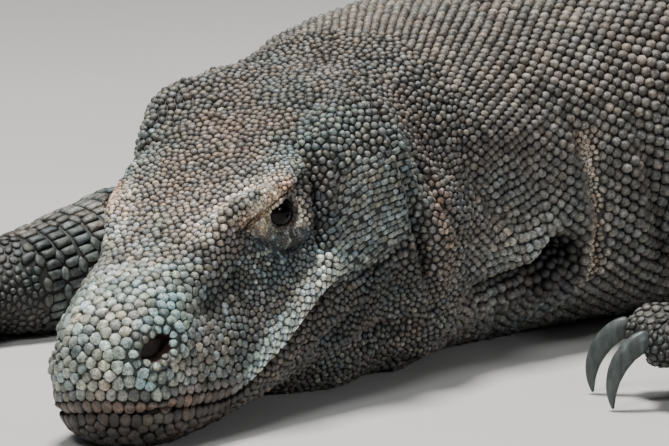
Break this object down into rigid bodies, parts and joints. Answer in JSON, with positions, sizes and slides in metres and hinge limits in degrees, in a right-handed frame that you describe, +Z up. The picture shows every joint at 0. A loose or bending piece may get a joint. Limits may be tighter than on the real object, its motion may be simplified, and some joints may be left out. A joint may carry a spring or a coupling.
{
  "type": "life-size komodo dragon model",
  "caption": "Life-size komodo dragon lying with chin, belly and tail on the floor, head turned to one side, forefoot planted with curved claws.",
  "frame": {"origin": "bottom centre of the whole animal, on the floor it lies on", "axes": "+Z up; +X runs from the head's end to the end of the tail, along the longest extent; -Y is the side the snout points to"},
  "size_m": [2.3046, 1.0632, 0.1829],
  "materials": {
    "hide": "matt, pebbled scales",
    "claw": "satin horn",
    "eye": "wet gloss"
  },
  "bodies": {
    "root": {"eye_left": "eye", "eye_right": "eye", "foot_claw_left_1": "claw", "foot_claw_left_2": "claw", "foot_claw_left_3": "claw", "foot_claw_left_4": "claw", "foot_claw_left_5": "claw", "foot_claw_right_1": "claw", "foot_claw_right_2": "claw", "foot_claw_right_3": "claw", "foot_claw_right_4": "claw", "foot_claw_right_5": "claw", "foot_left": "hide", "foot_right": "hide", "forearm_left": "hide", "forearm_right": "hide", "hand_claw_left_1": "claw", "hand_claw_left_2": "claw", "hand_claw_left_3": "claw", "hand_claw_left_4": "claw", "hand_claw_left_5": "claw", "hand_claw_right_1": "claw", "hand_claw_right_2": "claw", "hand_claw_right_3": "claw", "hand_claw_right_4": "claw", "hand_claw_right_5": "claw", "hand_left": "hide", "hand_right": "hide", "head": "hide", "lower_jaw": "hide", "neck": "hide", "shin_left": "hide", "shin_right": "hide", "tail_base": "hide", "tail_front": "hide", "tail_middle": "hide", "tail_tip": "hide", "thigh_left": "hide", "thigh_right": "hide", "trunk_front": "hide", "trunk_rear": "hide", "upper_arm_left": "hide", "upper_arm_right": "hide"}
  },
  "joints": []
}
